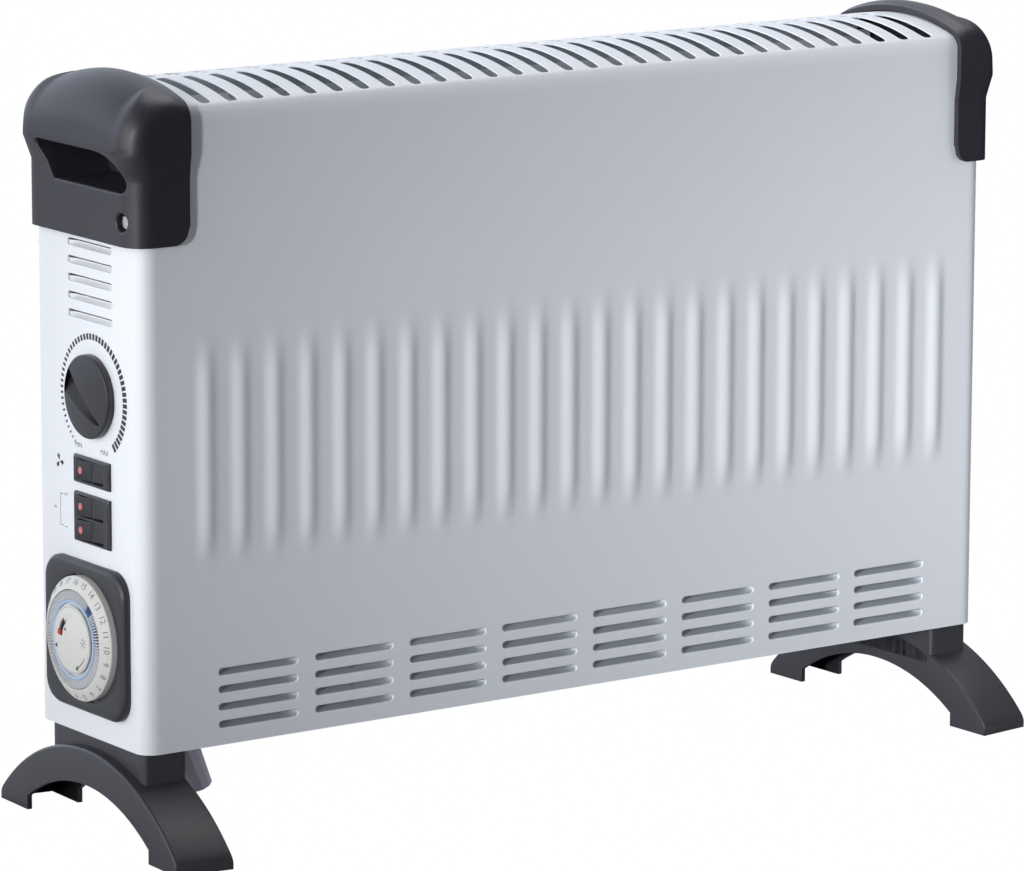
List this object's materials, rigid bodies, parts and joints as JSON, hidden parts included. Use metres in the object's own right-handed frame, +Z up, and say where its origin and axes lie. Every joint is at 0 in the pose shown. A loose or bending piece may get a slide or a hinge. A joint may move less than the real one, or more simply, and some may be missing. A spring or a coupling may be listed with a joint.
{
  "type": "convector heater",
  "caption": "Low free-standing convector heater: ribbed white steel case, slotted top, moulded grip caps and arched feet, with knob, rockers and segment timer on its left end.",
  "frame": {"origin": "on the floor, midway between the outermost points along X and Y", "axes": "+X along the body to the right seen from the front, +Y to the rear, +Z up"},
  "size_m": [0.5496, 0.186, 0.3886],
  "materials": {
    "enamel": "white powder coat",
    "charcoal": "fine satin charcoal",
    "black_plastic": "satin black",
    "white_plastic": "satin white",
    "dial_plastic": "satin off-white",
    "blue_plastic": "pale blue",
    "red_plastic": "red",
    "zinc": "zinc plated",
    "bright_sheet": "mill finish",
    "mica": "pressed mica",
    "ribbon": "resistance alloy",
    "steel_shaft": "ground"
  },
  "bodies": {
    "body": {"front_shell": "enamel", "rear_panel": "enamel", "rear_panel_screws": "zinc", "base_panel": "enamel", "left_foot": "charcoal", "right_foot": "charcoal", "foot_screws": "zinc", "left_end_cap": "charcoal", "right_end_cap": "charcoal", "cap_screws": "zinc", "cord_gland": "white_plastic", "gland_nut": "white_plastic", "thermostat_body": "white_plastic", "thermostat_bracket": "zinc", "fan_switch_housing": "charcoal", "heat_switch_housing": "charcoal", "timer_bezel": "charcoal", "timer_case": "white_plastic", "timer_centre_disc": "white_plastic", "partition_plate": "bright_sheet", "heat_shield": "bright_sheet", "mica_boards": "mica", "low_heat_ribbon": "ribbon", "high_heat_ribbon": "ribbon", "element_posts": "zinc", "motor_bracket": "zinc", "motor_bracket_screws": "zinc", "fan_motor": "zinc", "overheat_cutout": "black_plastic", "terminal_block": "white_plastic"},
    "thermostat": {"thermostat_knob": "charcoal", "thermostat_shaft": "steel_shaft"},
    "fan_switch": {"fan_rocker": "black_plastic"},
    "upper_heat_switch": {"upper_heat_rocker": "black_plastic"},
    "lower_heat_switch": {"lower_heat_rocker": "black_plastic"},
    "timer_dial": {"timer_number_ring": "dial_plastic", "timer_tappets": "blue_plastic"},
    "timer_override": {"timer_override_lever": "red_plastic"},
    "fan": {"fan_shaft": "steel_shaft", "fan_impeller": "black_plastic"}
  },
  "joints": [
    {"name": "thermostat_turn", "type": "hinge", "parent": "body", "child": "thermostat", "pos_m": [-0.2629, -0.0055, 0.227], "axis": [-1, 0, 0], "range_deg": [-300, 0]},
    {"name": "fan_rocker_tilt", "type": "hinge", "parent": "body", "child": "fan_switch", "pos_m": [-0.2631, -0.0055, 0.1884], "axis": [0, 0, -1], "range_deg": [0, 22]},
    {"name": "upper_heat_rocker_tilt", "type": "hinge", "parent": "body", "child": "upper_heat_switch", "pos_m": [-0.2631, -0.0055, 0.17005], "axis": [0, 0, -1], "range_deg": [0, 22]},
    {"name": "lower_heat_rocker_tilt", "type": "hinge", "parent": "body", "child": "lower_heat_switch", "pos_m": [-0.2631, -0.0055, 0.15795], "axis": [0, 0, -1], "range_deg": [0, 22]},
    {"name": "timer_dial_turn", "type": "hinge", "parent": "body", "child": "timer_dial", "pos_m": [-0.2629, -0.001, 0.1035], "axis": [-1, 0, 0], "continuous": true},
    {"name": "timer_override_swing", "type": "hinge", "parent": "body", "child": "timer_override", "pos_m": [-0.2629, -0.001, 0.1035], "axis": [-1, 0, 0], "range_deg": [-30, 0]},
    {"name": "fan_spin", "type": "hinge", "parent": "body", "child": "fan", "pos_m": [-0.1389, -0.003, 0.112], "axis": [1, 0, 0], "continuous": true}
  ]
}
